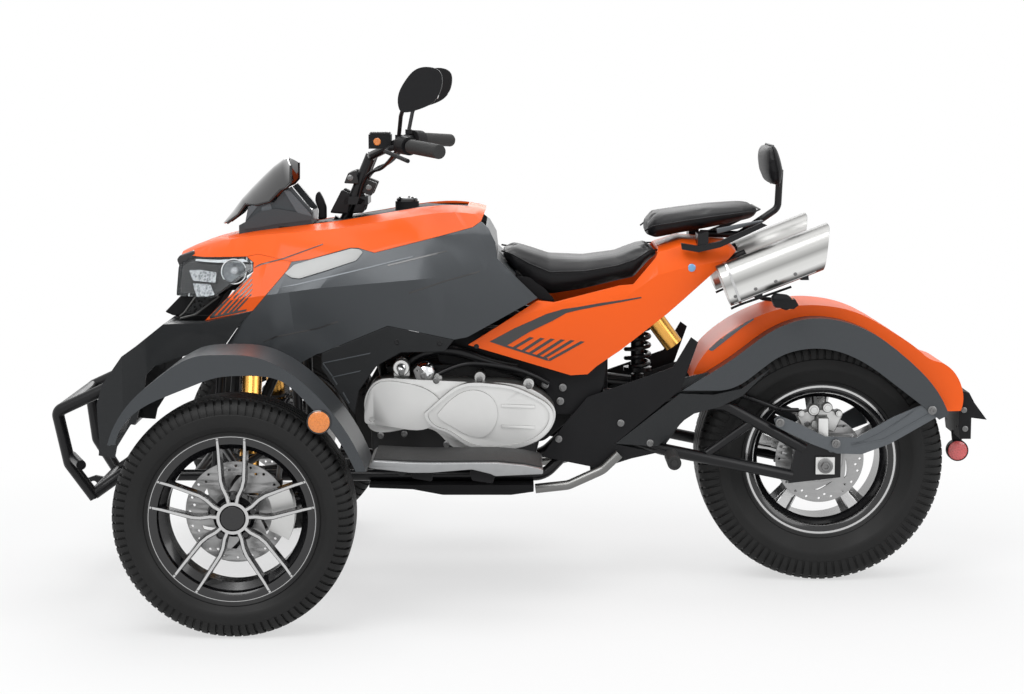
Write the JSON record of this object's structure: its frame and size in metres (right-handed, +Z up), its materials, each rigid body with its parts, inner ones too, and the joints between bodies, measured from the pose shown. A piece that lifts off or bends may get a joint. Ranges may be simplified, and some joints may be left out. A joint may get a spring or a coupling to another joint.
{
  "type": "three-wheeled motorcycle",
  "caption": "Motor trike with two steered front wheels, one driven rear wheel, open engine, stepped seat with backrest, bull bar and twin upswept silencers.",
  "frame": {"origin": "on the ground under the centre of the bounding box", "axes": "+X forward, +Y to the rider's left, +Z up"},
  "size_m": [2.329, 1.336, 1.2953],
  "materials": {
    "orange_gloss": "gloss",
    "grey_metallic": "metallic",
    "black_plastic": "matte",
    "dark_screen": "smoked gloss",
    "lamp_glass": "clear",
    "red_lens": "gloss",
    "seat_cover": "satin",
    "grip_rubber": "matte",
    "brushed_silver": "brushed",
    "cast_silver": "satin cast",
    "cast_dark": "cast",
    "gold_metal": "anodised",
    "tyre_rubber": "matte",
    "rim_black": "gloss black, machined faces",
    "frame_black": "satin"
  },
  "bodies": {
    "chassis": {"backrest_pad": "seat_cover", "backrest_post": "frame_black", "belly_pan": "black_plastic", "bull_bar": "frame_black", "console": "black_plastic", "control_arms": "frame_black", "drive_cover": "cast_silver", "engine": "cast_dark", "exhaust_pipes": "brushed_silver", "foot_pegs": "grip_rubber", "footboards": "cast_silver", "frame": "frame_black", "frame_covers": "black_plastic", "front_mudguards": "grey_metallic", "front_shocks": "gold_metal", "grab_rails": "frame_black", "grille": "black_plastic", "headlamps": "lamp_glass", "hood": "orange_gloss", "instrument_cowl": "grey_metallic", "leg_panels": "black_plastic", "mudguard_stays": "grey_metallic", "nose_fairing": "grey_metallic", "pillion_seat": "seat_cover", "plate_bracket": "black_plastic", "rear_arches": "grey_metallic", "rear_axle": "brushed_silver", "rear_caliper": "cast_silver", "rear_mudguard": "orange_gloss", "rear_shock": "frame_black", "rider_seat": "seat_cover", "shock_reservoir": "gold_metal", "side_cowls": "orange_gloss", "side_panels": "grey_metallic", "silencers": "brushed_silver", "swing_arm": "frame_black", "swing_covers": "black_plastic", "tail_body": "orange_gloss", "tail_lamp": "red_lens", "turn_signals": "black_plastic", "windscreen": "dark_screen"},
    "handlebar": {"handlebar": "frame_black", "grips": "grip_rubber", "mirrors": "black_plastic", "controls": "black_plastic"},
    "knuckle_left": {"knuckle_left": "frame_black", "front_caliper_left": "cast_silver"},
    "knuckle_right": {"knuckle_right": "frame_black", "front_caliper_right": "cast_silver"},
    "tie_rod_left": {"tie_rod_left": "frame_black"},
    "tie_rod_right": {"tie_rod_right": "frame_black"},
    "wheel_front_left": {"front_rim_left": "rim_black", "front_tyre_left": "tyre_rubber", "front_disc_left": "brushed_silver"},
    "wheel_front_right": {"front_rim_right": "rim_black", "front_tyre_right": "tyre_rubber", "front_disc_right": "brushed_silver"},
    "wheel_rear": {"rear_rim": "rim_black", "rear_tyre": "tyre_rubber", "rear_disc": "brushed_silver"}
  },
  "joints": [
    {"name": "steer", "type": "hinge", "parent": "chassis", "child": "handlebar", "pos_m": [0.43, 0, 0.94], "axis": [-0.4195, 0, 0.9078], "range_deg": [-25, 25]},
    {"name": "kingpin_left", "type": "hinge", "parent": "chassis", "child": "knuckle_left", "pos_m": [0.655, 0.53, 0.277], "axis": [0, 0, 1], "range_deg": [-25, 25]},
    {"name": "tie_rod_left_pin", "type": "hinge", "parent": "knuckle_left", "child": "tie_rod_left", "pos_m": [0.565, 0.53, 0.327], "axis": [0, 0, 1], "range_deg": [-25, 25]},
    {"name": "wheel_front_left_spin", "type": "hinge", "parent": "knuckle_left", "child": "wheel_front_left", "pos_m": [0.655, 0.58, 0.277], "axis": [0, 1, 0], "continuous": true},
    {"name": "kingpin_right", "type": "hinge", "parent": "chassis", "child": "knuckle_right", "pos_m": [0.655, -0.53, 0.277], "axis": [0, 0, 1], "range_deg": [-25, 25]},
    {"name": "tie_rod_right_pin", "type": "hinge", "parent": "knuckle_right", "child": "tie_rod_right", "pos_m": [0.565, -0.53, 0.327], "axis": [0, 0, 1], "range_deg": [-25, 25]},
    {"name": "wheel_front_right_spin", "type": "hinge", "parent": "knuckle_right", "child": "wheel_front_right", "pos_m": [0.655, -0.58, 0.277], "axis": [0, 1, 0], "continuous": true},
    {"name": "wheel_rear_spin", "type": "hinge", "parent": "chassis", "child": "wheel_rear", "pos_m": [-0.76, 0, 0.311], "axis": [0, 1, 0], "continuous": true}
  ],
  "couplings": [
    {"joint": "kingpin_left", "follows": "steer", "ratio": 1},
    {"joint": "tie_rod_left_pin", "follows": "steer", "ratio": -1},
    {"joint": "kingpin_right", "follows": "steer", "ratio": 1},
    {"joint": "tie_rod_right_pin", "follows": "steer", "ratio": -1}
  ]
}
